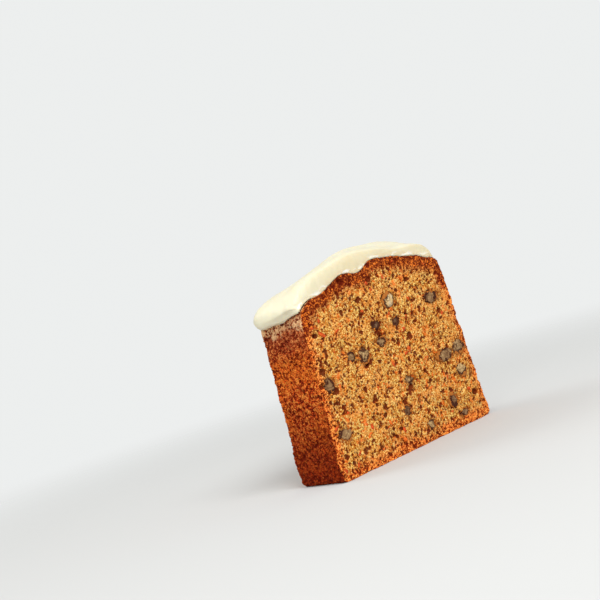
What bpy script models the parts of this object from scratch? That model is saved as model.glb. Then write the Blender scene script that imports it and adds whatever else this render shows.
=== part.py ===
"""A slice of carrot loaf cake, as cut: crumb and browned crust, frosting over its top, walnut pieces.

The slice stands on its bottom crust. X runs across it, Y from the front cut face to the back one
and Z up, with the origin at the middle of the base. Sizes here are in millimetres and angles in
degrees, and add_object turns the sizes into metres.
"""

import math
import random
from collections import namedtuple

import bmesh
import bpy
from mathutils import Vector, noise
from mathutils.geometry import delaunay_2d_cdt

MM = 0.001

# Clearance between pieces that touch
GAP = 0.35

# The slice: a loaf that flares a little towards its base, cut straight across
THICKNESS = 27.4
BASE_LEFT = -50.4
BASE_RIGHT = 51.6
BASE_CORNER = 2.0
STATION_COUNT = 10
OUTLINE_STEP = 2.7

# Top crust, as (X, Z) from the left shoulder over the cracked dome to the right shoulder
TOP_CRUST = (
    (-47.3, 71.3),
    (-44.1, 74.2),
    (-37.6, 76.9),
    (-29.9, 78.6),
    (-22.5, 82.0),
    (-16.5, 83.2),
    (-9.9, 82.2),
    (-4.1, 82.5),
    (1.7, 85.4),
    (21.8, 83.5),
    (43.0, 78.2),
    (46.9, 76.0),
)

# Outside of the frosting, as (X, Z) from its left lip to its right end, at each cut face
FROSTING_FRONT = (
    (-48.5, 70.9),
    (-48.9, 73.6),
    (-47.6, 77.0),
    (-43.4, 81.9),
    (-38.3, 85.6),
    (-30.9, 88.2),
    (-21.2, 90.3),
    (-11.4, 91.3),
    (4.7, 90.9),
    (24.0, 88.3),
    (36.0, 87.5),
    (41.3, 85.2),
    (43.9, 82.2),
    (43.8, 79.4),
)
FROSTING_BACK = (
    (-49.0, 68.7),
    (-51.4, 72.8),
    (-50.4, 77.2),
    (-45.2, 80.8),
    (-38.4, 82.3),
    (-30.0, 83.9),
    (-22.7, 85.8),
    (-14.8, 87.8),
    (-4.3, 90.5),
    (6.1, 92.9),
    (18.0, 93.9),
    (34.0, 93.1),
    (43.4, 90.4),
    (46.6, 86.0),
    (45.6, 80.6),
)
LIP_HEIGHT = 70.0
RIGHT_END = 44.0
EDGE_ROUNDING = 1.3
SWOOP_SIZE = 15.0
SWOOP_DEPTH = 0.8

# Relief, as the size of its bumps and their depth
CRUST_BUMP = 6.0
CRUST_DEPTH = 0.9
CRUMB_BUMP = 5.0
CRUMB_DEPTH = 0.9
FLAT_BAND = 4.0

# Pores large enough to see from a step away
PIT_COUNT = 44
PIT_SMALLEST = 0.8
PIT_LARGEST = 1.5
PIT_SIDES = 6
FACE_STEP = 3.9

# Walnut pieces cut through by the knife
NUT_SIDES = 10
NUT_UNEVEN = 0.09
NUT_RING_ANGLES = (0.0, 32.0, 62.0)
BACK_NUT_COUNT = 9
BACK_NUT_SPACING = 9.0

FRONT = -1
BACK = 1

Nut = namedtuple("Nut", "name x z width height depth turn side")
Pit = namedtuple("Pit", "x z width height depth")

# Walnut pieces on the front cut face: X and Z of the middle, width, height, depth and turn
FRONT_NUTS = (
    (6.3, 66.2, 8.4, 7.6, 4.5, 10.0),
    (34.5, 61.3, 10.2, 6.2, 4.8, -8.0),
    (7.6, 56.3, 5.4, 4.6, 3.2, 20.0),
    (-5.4, 57.5, 6.6, 4.3, 3.6, -15.0),
    (-4.9, 49.9, 7.3, 4.7, 4.0, 12.0),
    (-25.6, 48.6, 5.4, 4.8, 3.2, 35.0),
    (-18.0, 46.3, 7.4, 7.2, 4.4, 60.0),
    (-42.6, 40.4, 6.4, 6.0, 3.8, 25.0),
    (-42.0, 18.4, 7.5, 5.6, 4.0, -12.0),
    (31.4, 33.8, 11.6, 6.0, 5.0, 6.0),
    (43.4, 34.8, 8.6, 7.2, 4.6, 18.0),
    (5.0, 29.4, 6.2, 4.1, 3.4, -20.0),
    (-1.7, 17.4, 5.5, 4.9, 3.4, 40.0),
    (28.6, 13.3, 7.2, 6.8, 4.2, -30.0),
    (34.4, 5.4, 6.4, 3.8, 3.2, 5.0),
    (10.4, 6.9, 5.0, 5.4, 3.2, 0.0),
    (40.5, 24.4, 7.6, 5.6, 3.8, -25.0),
)

# Hollows in the crumb of the front cut face: X, Z, width, height and depth
FRONT_HOLLOWS = (
    Pit(-42.0, 61.6, 4.7, 3.7, 2.6),
    Pit(17.0, 30.5, 5.0, 3.2, 2.4),
    Pit(-9.2, 4.6, 3.6, 2.4, 1.6),
    Pit(45.6, 12.6, 5.4, 5.2, 2.8),
    Pit(42.4, 58.2, 3.2, 2.4, 1.8),
    Pit(-28.2, 33.6, 3.2, 2.4, 1.8),
    Pit(-21.0, 15.7, 3.0, 2.6, 1.8),
)

# Colour as linear red, green and blue, and roughness
CAKE_FINISH = ((0.52, 0.24, 0.065), 0.85)
FROSTING_FINISH = ((0.86, 0.80, 0.62), 0.42)
WALNUT_FINISH = ((0.13, 0.10, 0.075), 0.5)


def bump(x, y, z, size, depth):
    """Smooth uneven relief, the same each time, from minus depth to depth."""
    return depth * noise.noise(Vector((x, y, z)) / size)


def curve_through(points, count):
    """Points at even steps along a smooth curve through the given ones."""
    fine = []
    last = len(points) - 1
    for index in range(last):
        before = Vector(points[max(index - 1, 0)])
        start = Vector(points[index])
        end = Vector(points[index + 1])
        after = Vector(points[min(index + 2, last)])
        for step in range(12):
            t = step / 12
            value = 2 * start + (end - before) * t
            value += (2 * before - 5 * start + 4 * end - after) * t * t
            value += (3 * start - before - 3 * end + after) * t * t * t
            fine.append(value / 2)
    fine.append(Vector(points[last]))
    return even_steps(fine, count)


def even_steps(points, count):
    """The given number of points, spread evenly along a line of straight runs."""
    lengths = [0.0]
    for start, end in zip(points, points[1:]):
        lengths.append(lengths[-1] + (end - start).length)
    result = []
    run = 0
    for step in range(count):
        distance = lengths[-1] * step / (count - 1)
        while run < len(points) - 2 and lengths[run + 1] < distance:
            run += 1
        share = (distance - lengths[run]) / (lengths[run + 1] - lengths[run])
        result.append(points[run].lerp(points[run + 1], share))
    return result


def arc(centre, radius, start, end):
    """Points along an arc, from one angle to another."""
    points = []
    for step in range(5):
        angle = math.radians(start + (end - start) * step / 4)
        points.append(Vector((centre[0] + radius * math.cos(angle), centre[1] + radius * math.sin(angle))))
    return points


def make_outline():
    """The slice's outline as (X, Z), anticlockwise seen from the front, from the base's left end."""
    line = arc((BASE_RIGHT - BASE_CORNER, BASE_CORNER), BASE_CORNER, -90, 0)
    line += reversed(curve_through(TOP_CRUST, 60))
    line += arc((BASE_LEFT + BASE_CORNER, BASE_CORNER), BASE_CORNER, 180, 270)
    start = line[-1].copy()
    line.insert(0, start)
    length = sum((b - a).length for a, b in zip(line, line[1:]))
    return even_steps(line, int(length / OUTLINE_STEP) + 1)[:-1]


def outward(points, index):
    """The direction out of the outline at one of its points."""
    along = points[(index + 1) % len(points)] - points[index - 1]
    return Vector((along.y, -along.x)).normalized()


OUTLINE = make_outline()
STATIONS = [THICKNESS * (step / (STATION_COUNT - 1) - 0.5) for step in range(STATION_COUNT)]


def crumb_depth(x, z, side):
    """How far the torn crumb of a cut face lies below the knife's plane."""
    coarse = bump(x, side * THICKNESS, z, CRUMB_BUMP, CRUMB_DEPTH)
    fine = bump(x + 40, side * THICKNESS, z, CRUMB_BUMP / 2, CRUMB_DEPTH / 2)
    return max(0.0, 0.3 + coarse + fine)


def crust_point(station, index):
    """A point of the browned crust at one station along the slice's thickness."""
    point = OUTLINE[index]
    y = STATIONS[station]
    roughness = min(point.y / FLAT_BAND, 1.0)
    push = roughness * bump(point.x, y, point.y, CRUST_BUMP, CRUST_DEPTH)
    place = point + outward(OUTLINE, index) * push
    if station == 0:
        y += crumb_depth(place.x, place.y, FRONT)
    if station == STATION_COUNT - 1:
        y -= crumb_depth(place.x, place.y, BACK)
    return Vector((place.x, y, place.y))


class Shell:
    """Points and faces of one closed piece."""

    def __init__(self):
        self.points = []
        self.faces = []

    def loop(self, points):
        """Adds points and returns their numbers."""
        first = len(self.points)
        self.points += [Vector(point) for point in points]
        return list(range(first, len(self.points)))

    def band(self, one, other):
        """Joins two closed loops of as many points with a band of faces."""
        for index in range(len(one)):
            self.faces.append((one[index - 1], one[index], other[index], other[index - 1]))

    def fan(self, loop, tip):
        """Closes a loop to one point."""
        for index in range(len(loop)):
            self.faces.append((loop[index - 1], loop[index], tip))


def inside(x, z, loop):
    """Whether a place lies inside a closed loop of (X, Z) points."""
    found = False
    for (ax, az), (bx, bz) in zip(loop, loop[1:] + loop[:1]):
        if (az > z) != (bz > z) and x < ax + (bx - ax) * (z - az) / (bz - az):
            found = not found
    return found


def nut_radii(nut):
    """The nut's outline round its middle: the uneven edge of the cut walnut."""
    radii = []
    for step in range(NUT_SIDES):
        angle = math.tau * step / NUT_SIDES
        across = math.cos(angle) * nut.width / 2
        up = math.sin(angle) * nut.height / 2
        swell = 1 + NUT_UNEVEN * (random.Random(f"{nut.name} {step}").random() * 2 - 1)
        turn = math.radians(nut.turn)
        dx = (across * math.cos(turn) - up * math.sin(turn)) * swell
        dz = (across * math.sin(turn) + up * math.cos(turn)) * swell
        radii.append(Vector((dx, dz)))
    return radii


def nut_loops(nut, grow):
    """Loops of the nut's buried half from the cut face inwards, and its deepest point."""
    loops = []
    for angle in NUT_RING_ANGLES:
        share = math.cos(math.radians(angle))
        sunk = (nut.depth + grow) * math.sin(math.radians(angle))
        y = nut.side * (THICKNESS / 2 - sunk)
        points = []
        for radius in nut_radii(nut):
            reach = radius.normalized() * ((radius.length + grow) * share)
            points.append(Vector((nut.x + reach.x, y, nut.z + reach.y)))
        loops.append(points)
    tip = Vector((nut.x, nut.side * (THICKNESS / 2 - nut.depth - grow), nut.z))
    return loops, tip


def add_pocket(shell, nut):
    """Lines the hollow that a nut sits in and returns the loop at its mouth."""
    loops, tip = nut_loops(nut, GAP)
    for point in loops[0]:
        point.y -= nut.side * crumb_depth(point.x, point.z, nut.side) / 2
    numbers = [shell.loop(points) for points in loops]
    for one, other in zip(numbers, numbers[1:]):
        shell.band(one, other)
    shell.fan(numbers[-1], shell.loop([tip])[0])
    return numbers[0]


def pit_points(pit, side):
    """A pore's rim and its deepest point."""
    points = []
    for step in range(PIT_SIDES):
        angle = math.tau * step / PIT_SIDES
        swell = 1 + 0.18 * math.sin(angle * 2 + pit.x)
        x = pit.x + math.cos(angle) * swell * pit.width / 2
        z = pit.z + math.sin(angle) * swell * pit.height / 2
        points.append(Vector((x, side * (THICKNESS / 2 - crumb_depth(x, z, side) / 2), z)))
    floor = THICKNESS / 2 - crumb_depth(pit.x, pit.z, side) / 2 - pit.depth
    points.append(Vector((pit.x, side * floor, pit.z)))
    return points


def close_cut_face(shell, rim, side, mouths, pits, spacing, depth_at):
    """Fills the loop at a cut face with crumb or frosting, round the mouths of its pockets."""
    chance = random.Random(f"face {side} {len(rim)}")
    numbers = []
    edges = []
    for loop in [rim] + mouths:
        first = len(numbers)
        numbers += loop
        edges += [(first + i, first + (i + 1) % len(loop)) for i in range(len(loop))]
    outlines = [[(shell.points[n].x, shell.points[n].z) for n in loop] for loop in [rim] + mouths]
    for pit in pits:
        numbers += shell.loop(pit_points(pit, side))
    taken = [(shell.points[n].x, shell.points[n].z) for n in numbers]
    left = min(x for x, z in outlines[0])
    right = max(x for x, z in outlines[0])
    top = max(z for x, z in outlines[0])
    bottom = min(z for x, z in outlines[0])
    tries = int(14 * (right - left) * (top - bottom) / spacing**2)
    for _ in range(tries):
        x = chance.uniform(left, right)
        z = chance.uniform(bottom, top)
        if not inside(x, z, outlines[0]) or any(inside(x, z, hole) for hole in outlines[1:]):
            continue
        if min((x - a) ** 2 + (z - b) ** 2 for a, b in taken) < (0.62 * spacing) ** 2:
            continue
        taken.append((x, z))
        y = side * (THICKNESS / 2 - depth_at(x, z, side))
        numbers += shell.loop([(x, y, z)])
    flat = [Vector(place) for place in taken]
    places, _, triangles, sources, _, _ = delaunay_2d_cdt(flat, edges, [], 0, 1e-6)
    for triangle in triangles:
        x = sum(places[corner].x for corner in triangle) / 3
        z = sum(places[corner].y for corner in triangle) / 3
        if inside(x, z, outlines[0]) and not any(inside(x, z, hole) for hole in outlines[1:]):
            shell.faces.append([numbers[sources[corner][0]] for corner in triangle])


def add_object(name, shell, shift, finish):
    """Makes one closed piece with its material."""
    mesh = bpy.data.meshes.new(name)
    build = bmesh.new()
    corners = [build.verts.new((point + shift) * MM) for point in shell.points]
    for face in shell.faces:
        build.faces.new([corners[n] for n in face])
    bmesh.ops.triangulate(build, faces=build.faces)
    bmesh.ops.recalc_face_normals(build, faces=build.faces)
    if build.calc_volume(signed=True) < 0:
        bmesh.ops.reverse_faces(build, faces=build.faces)
    build.to_mesh(mesh)
    build.free()
    mesh.shade_smooth()
    mesh.set_sharp_from_angle(angle=math.radians(40))
    colour, roughness = finish
    material = bpy.data.materials.new(name)
    material.use_nodes = True
    surface = material.node_tree.nodes["Principled BSDF"]
    surface.inputs["Base Color"].default_value = (*colour, 1.0)
    surface.inputs["Roughness"].default_value = roughness
    surface.inputs["Metallic"].default_value = 0.0
    mesh.materials.append(material)
    piece = bpy.data.objects.new(name, mesh)
    bpy.context.scene.collection.objects.link(piece)
    return piece


def clear_of(x, z, others, spacing):
    """Whether a place keeps its distance from others, each an (X, Z, reach)."""
    return all(math.hypot(x - a, z - b) > reach + spacing for a, b, reach in others)


def edge_distance(x, z):
    """Distance from a place to the slice's outline."""
    return min(math.hypot(x - point.x, z - point.y) for point in OUTLINE)


def scatter(seed, count, margin, spacing, others, reach_range):
    """Places inside the outline for pieces of mixed size: a list of (X, Z, reach)."""
    chance = random.Random(seed)
    outline = [(point.x, point.y) for point in OUTLINE]
    found = []
    for _ in range(count * 200):
        if len(found) == count:
            break
        x = chance.uniform(BASE_LEFT, BASE_RIGHT)
        z = chance.uniform(0, max(height for _, height in TOP_CRUST))
        reach = chance.uniform(*reach_range)
        if not inside(x, z, outline) or edge_distance(x, z) < margin + reach:
            continue
        if clear_of(x, z, others, reach + 0.8) and clear_of(x, z, found, reach + spacing):
            found.append((x, z, reach))
    return found


def make_nuts():
    """All walnut pieces: the ones placed on the front and a like number spread over the back."""
    nuts = []
    for number, sizes in enumerate(FRONT_NUTS, 1):
        nuts.append(Nut(f"walnut_front_{number:02d}", *sizes, FRONT))
    places = scatter("back nuts", BACK_NUT_COUNT, 2.0, BACK_NUT_SPACING, [], (2.6, 4.8))
    for number, (x, z, reach) in enumerate(places, 1):
        shape = random.Random(f"back nut {number}")
        height = reach * shape.uniform(1.3, 1.9)
        turn = shape.uniform(-60, 60)
        nuts.append(Nut(f"walnut_back_{number:02d}", x, z, reach * 2, height, reach, turn, BACK))
    return nuts


def make_pits(side, nuts):
    """The pores of one cut face, clear of its nuts."""
    hollows = list(FRONT_HOLLOWS) if side == FRONT else []
    others = [(nut.x, nut.z, max(nut.width, nut.height) / 2) for nut in nuts if nut.side == side]
    others += [(pit.x, pit.z, pit.width / 2) for pit in hollows]
    places = scatter(f"pits {side}", PIT_COUNT, 1.4, 1.0, others, (PIT_SMALLEST, PIT_LARGEST))
    pits = hollows
    for x, z, reach in places:
        pits.append(Pit(x, z, reach * 2, reach * 1.7, reach * 1.1))
    return pits


def cake_shell(nuts):
    """The crumb and its crust: skin from front to back, closed by two cut faces."""
    shell = Shell()
    rings = []
    for station in range(STATION_COUNT):
        rings.append(shell.loop([crust_point(station, index) for index in range(len(OUTLINE))]))
    for one, other in zip(rings, rings[1:]):
        shell.band(one, other)
    for side, rim in ((FRONT, rings[0]), (BACK, rings[-1])):
        mouths = [add_pocket(shell, nut) for nut in nuts if nut.side == side]
        pits = make_pits(side, nuts)
        close_cut_face(shell, rim, side, mouths, pits, FACE_STEP, crumb_depth)
    return shell


def nut_shell(nut):
    """One walnut piece, flat where the knife went through it."""
    shell = Shell()
    loops, tip = nut_loops(nut, 0.0)
    numbers = [shell.loop(points) for points in loops]
    for one, other in zip(numbers, numbers[1:]):
        shell.band(one, other)
    shell.fan(numbers[-1], shell.loop([tip])[0])
    middle = Vector((nut.x, nut.side * (THICKNESS / 2 + 0.1), nut.z))
    raised = [point.lerp(middle, 0.4) + Vector((0, nut.side * 0.15, 0)) for point in loops[0]]
    inner = shell.loop(raised)
    shell.band(numbers[0], inner)
    shell.fan(inner, shell.loop([middle])[0])
    return shell


def frosting_span():
    """The numbers of the outline's points that the frosting covers, from the left lip to its right end."""
    top = [i for i, point in enumerate(OUTLINE) if point.y > LIP_HEIGHT and point.x < RIGHT_END]
    return sorted(top, reverse=True)


def frosting_depth(x, z, side):
    """The frosting's cut face lies in the knife's plane, a little uneven."""
    return 0.15 + bump(x, side, z, CRUMB_BUMP, 0.15)


def frosting_shell():
    """The frosting: a thick uneven coat that follows the dome, cut through with the slice."""
    span = frosting_span()
    front = curve_through(FROSTING_FRONT, len(span))
    back = curve_through(FROSTING_BACK, len(span))
    shell = Shell()
    rings = []
    last = STATION_COUNT - 1
    for station, y in enumerate(STATIONS):
        share = station / last
        share = share * share * (3 - 2 * share)
        inner = []
        outer = []
        for index, start, end in zip(span, front, back):
            crust = crust_point(station, index)
            away = outward(OUTLINE, index)
            under = Vector((crust.x, crust.z)) + away * GAP
            over = start.lerp(end, share)
            over += away * bump(over.x, y * 1.6, over.y, SWOOP_SIZE, SWOOP_DEPTH)
            if station in (0, last):
                thick = under - over
                over += thick.normalized() * min(EDGE_ROUNDING, thick.length / 3)
            inner.append(Vector((under.x, y, under.y)))
            outer.append(Vector((over.x, y, over.y)))
        rings.append(shell.loop(inner + outer[::-1]))
    for one, other in zip(rings, rings[1:]):
        shell.band(one, other)
    close_cut_face(shell, rings[0], FRONT, [], [], FACE_STEP, frosting_depth)
    close_cut_face(shell, rings[-1], BACK, [], [], FACE_STEP, frosting_depth)
    return shell


def clear_scene():
    """Starts from an empty scene."""
    for old in list(bpy.data.objects):
        bpy.data.objects.remove(old)


def main():
    """Builds every piece round one origin, at the middle of the base."""
    clear_scene()
    nuts = make_nuts()
    pieces = [("cake_slice", cake_shell(nuts), CAKE_FINISH), ("frosting", frosting_shell(), FROSTING_FINISH)]
    for nut in nuts:
        pieces.append((nut.name, nut_shell(nut), WALNUT_FINISH))
    points = [point for _, shell, _ in pieces for point in shell.points]
    middle_x = (min(p.x for p in points) + max(p.x for p in points)) / 2
    middle_y = (min(p.y for p in points) + max(p.y for p in points)) / 2
    shift = Vector((-middle_x, -middle_y, -min(p.z for p in points)))
    for name, shell, finish in pieces:
        add_object(name, shell, shift, finish)


main()
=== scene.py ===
"""Looks of a slice of carrot loaf cake: crumb, crust, frosting, walnut pieces, carrot shreds, crumbs.

Lengths are in metres. The front cut face looks along -Y and the slice stands on its bottom crust.
"""

import math

import bmesh
import bpy
import numpy as np
from mathutils import Matrix, Vector
from mathutils.kdtree import KDTree


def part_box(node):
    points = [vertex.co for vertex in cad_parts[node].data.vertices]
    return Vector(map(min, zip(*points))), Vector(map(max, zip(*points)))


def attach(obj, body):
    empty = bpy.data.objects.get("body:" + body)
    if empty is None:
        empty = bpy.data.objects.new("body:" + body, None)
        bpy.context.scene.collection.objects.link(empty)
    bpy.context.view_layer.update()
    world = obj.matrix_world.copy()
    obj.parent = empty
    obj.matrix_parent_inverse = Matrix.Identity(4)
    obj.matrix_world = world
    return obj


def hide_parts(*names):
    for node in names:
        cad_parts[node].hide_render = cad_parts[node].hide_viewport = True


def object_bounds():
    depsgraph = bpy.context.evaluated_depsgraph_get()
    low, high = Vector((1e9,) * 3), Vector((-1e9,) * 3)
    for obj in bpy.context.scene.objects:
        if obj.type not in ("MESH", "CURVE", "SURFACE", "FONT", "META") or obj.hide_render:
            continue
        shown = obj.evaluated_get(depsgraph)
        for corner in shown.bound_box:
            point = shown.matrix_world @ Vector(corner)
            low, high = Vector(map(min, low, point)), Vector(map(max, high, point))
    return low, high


bl_info = {
    "name": "Carrot Loaf Cake Slice",
    "version": (1, 0, 0),
    "blender": (4, 5, 0),
    "location": "View3D > Sidebar > Cake",
    "description": "Dresses a slice of frosted carrot loaf cake with walnut pieces",
    "category": "Object",
}

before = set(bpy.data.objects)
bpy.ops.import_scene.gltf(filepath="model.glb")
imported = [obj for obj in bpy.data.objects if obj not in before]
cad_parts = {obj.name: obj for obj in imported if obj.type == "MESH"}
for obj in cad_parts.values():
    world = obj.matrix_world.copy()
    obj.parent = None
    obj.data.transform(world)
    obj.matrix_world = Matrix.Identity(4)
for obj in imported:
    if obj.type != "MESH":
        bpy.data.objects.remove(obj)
CAD_BOX = [list(corner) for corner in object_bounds()]
MM = 0.001

BODY = "root"
CAKE_NODE = "cake_slice"
FROSTING_NODE = "frosting"
NUT_NODES = sorted(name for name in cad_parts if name.startswith("walnut"))

# How pale each walnut piece of the front face looks, from 0 to 1, by its number
PALENESS = (
    0.90, 0.56, 0.18, 0.22, 0.64, 0.68, 0.78, 0.54, 0.66,
    0.64, 0.70, 0.68, 0.30, 0.38, 0.38, 0.82, 0.85,
)
FRONT_TINTS = {f"walnut_front_{number:02d}": pale for number, pale in enumerate(PALENESS, 1)}

CAKE_LOW, CAKE_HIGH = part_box(CAKE_NODE)
FRONT_Y = CAKE_LOW.y
BACK_Y = CAKE_HIGH.y
SLAB = 4.2 * MM
WELD = 0.001 * MM

# The camera, fitted to the slice's corners in the 600 pixel square photograph
CAMERA_PLACE = Vector((-0.38459, -0.37788, 0.08499))
CAMERA_RIGHT = Vector((0.697431, -0.655136, -0.290494))
CAMERA_UP = Vector((0.221802, -0.188121, 0.956773))
CAMERA_BACK = Vector((-0.681464, -0.731716, 0.014109))
FOCAL_PIXELS = 1200.0
FRAME_PIXELS = 600.0
SENSOR_WIDTH = 36.0


def colour_property(name, description, default):
    """A colour that a user would change."""
    return bpy.props.FloatVectorProperty(
        name=name, description=description, default=default, size=3, min=0, max=1, subtype="COLOR"
    )


def length_property(name, description, default):
    """A length that a user would change."""
    return bpy.props.FloatProperty(
        name=name, description=description, default=default, min=0, unit="LENGTH", precision=5
    )


def power_property(name, description, default):
    """A light's power that a user would change."""
    return bpy.props.FloatProperty(name=name, description=description, default=default, min=0)


def count_property(name, description, default):
    """A number of things that a user would change."""
    return bpy.props.IntProperty(name=name, description=description, default=default, min=0)


class CakeLook(bpy.types.PropertyGroup):
    """Sizes and colours of the crumb and crust."""

    grain: length_property("Mesh grain", "Spacing of the fine surface's points", 0.355 * MM)
    fine_pores: count_property("Fine pores", "Smallest pores of each cut face", 15000)
    pores: count_property("Pores", "Pores of each cut face", 950)
    caverns: count_property("Caverns", "Large torn pores of each cut face", 46)
    light: colour_property("Light crumb", "Colour of the crumb's walls", (1.0, 0.69, 0.23))
    middle: colour_property("Crumb", "Usual colour of the crumb", (0.88, 0.35, 0.038))
    # The crumb's darkest tone, also painted as shade between its grains
    dark: colour_property("Dark crumb", "Colour between the crumb's grains", (0.29, 0.045, 0.003))
    # Painted shade inside the pores and below the cut faces, also used for the real stain beside the walnut
    # pieces
    pore_shade_and_stain: colour_property("Deep crumb", "Colour inside the pores", (0.12, 0.007, 0.001))
    moist: colour_property("Moist crumb", "Colour of moist patches near carrot", (0.88, 0.20, 0.014))
    # The crust's light tone, which the raised grains take partly as a painted highlight
    light_crust: colour_property("Light crust", "Colour of the crust's raised grains", (1.0, 0.36, 0.06))
    crust: colour_property("Side crust", "Colour of the browned sides", (0.78, 0.080, 0.006))
    dark_crust: colour_property("Dark crust", "Colour of the darkest crust", (0.11, 0.005, 0.001))
    top_crust: colour_property("Top crust", "Colour of the crust below the frosting", (0.27, 0.026, 0.006))
    plum: colour_property("Plum crust", "Colour of the sides' upper crust", (0.28, 0.045, 0.016))
    light_plum: colour_property("Light plum crust", "Colour of the upper crust's grains", (0.66, 0.22, 0.08))
    ruddy: colour_property("Ruddy crumb", "Colour of the crumb stained by carrot", (0.80, 0.13, 0.010))
    olive: colour_property("Olive tint", "Tint of the crumb's duller patches", (0.92, 1.0, 0.9))
    # Painted shade that darkens the crust low on the sides
    painted_low_shade: colour_property("Baked base", "Tint of the crust low on the sides", (0.40, 0.20, 0.16))
    dust: colour_property("Dust", "Colour of the pale film below the frosting's lip", (0.82, 0.50, 0.25))


class FrostingLook(bpy.types.PropertyGroup):
    """Sizes and colours of the frosting."""

    grain: length_property("Mesh grain", "Spacing of the fine surface's points", 0.40 * MM)
    swoop: length_property("Swoop depth", "Depth of the palette knife's marks", 0.42 * MM)
    outer: colour_property("Outside", "Colour of the spread surface", (0.745, 0.695, 0.505))
    cut: colour_property("Cut", "Colour where the knife went through", (0.69, 0.59, 0.37))
    stained: colour_property("Stained", "Colour where the frosting took up the crust's", (0.60, 0.38, 0.17))
    # Painted highlight: the glints on the wet ridges along the crust
    painted_glint: colour_property("Wet ridges", "Colour of the wet ridges along the crust", (0.86, 0.85, 0.80))


class WalnutLook(bpy.types.PropertyGroup):
    """Sizes and colours of the walnut pieces."""

    wrinkle: length_property("Wrinkle depth", "Depth of the folds in the nut", 0.30 * MM)
    # Painted highlight: the colour of the pale streaks on the palest pieces
    pale: colour_property("Pale meat", "Colour of the palest walnut", (0.72, 0.66, 0.50))
    meat: colour_property("Meat", "Colour of the cut walnut", (0.66, 0.44, 0.19))
    grey: colour_property("Stained meat", "Colour of walnut stained by the batter", (0.27, 0.145, 0.06))
    purple: colour_property("Bruised meat", "Colour of the purple specks in the meat", (0.13, 0.042, 0.032))
    skin: colour_property("Skin", "Colour of the papery skin", (0.045, 0.008, 0.003))
    stuck: colour_property("Stuck crumb", "Colour of the crumb stuck to the rim", (0.50, 0.16, 0.025))


class ShredLook(bpy.types.PropertyGroup):
    """Sizes and colours of the carrot shreds and loose crumbs."""

    length: length_property("Shred length", "Usual length of a carrot shred", 3.8 * MM)
    width: length_property("Shred width", "Width of a carrot shred", 1.6 * MM)
    density: count_property("Shreds", "Shreds for each square metre of cut face", 12500)
    crumb: length_property("Crumb size", "Usual size of a loose crumb", 0.40 * MM)
    crumb_density: count_property("Crumbs", "Loose crumbs for each square metre of crust", 110000)
    carrot: colour_property("Carrot", "Colour of the baked carrot", (0.72, 0.085, 0.010))
    pale_carrot: colour_property("Pale carrot", "Colour of the paler shreds", (0.92, 0.22, 0.022))


class StageLook(bpy.types.PropertyGroup):
    """The floor, lights and camera."""

    ground: colour_property("Ground", "Colour of the floor", (0.615, 0.615, 0.605))
    backdrop: colour_property("Backdrop", "Colour of the surroundings", (0.845, 0.86, 0.855))
    key: power_property("Key light", "Power of the main light", 12.4)
    fill: power_property("Fill light", "Power of the fill light", 5.0)
    back: power_property("Back light", "Power of the light from behind", 5.0)
    surround: power_property("Surroundings", "Strength of the light from all round", 0.62)


class Number:
    """A value in a material's node tree, on which sums can be written."""

    def __init__(self, paint, socket):
        self.paint = paint
        self.socket = socket

    def __add__(self, other):
        return self.paint.math("ADD", self, other)

    def __sub__(self, other):
        return self.paint.math("SUBTRACT", self, other)

    def __rsub__(self, other):
        return self.paint.math("SUBTRACT", other, self)

    def __mul__(self, other):
        return self.paint.math("MULTIPLY", self, other)

    __radd__ = __add__
    __rmul__ = __mul__

    def most(self, other):
        """The larger of two values."""
        return self.paint.math("MAXIMUM", self, other)

    def between(self, low, high):
        """A smooth rise from 0 at low to 1 at high."""
        values = {"Value": self, "From Min": low, "From Max": high}
        return self.paint.node("ShaderNodeMapRange", {"interpolation_type": "SMOOTHSTEP"}, values)


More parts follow.
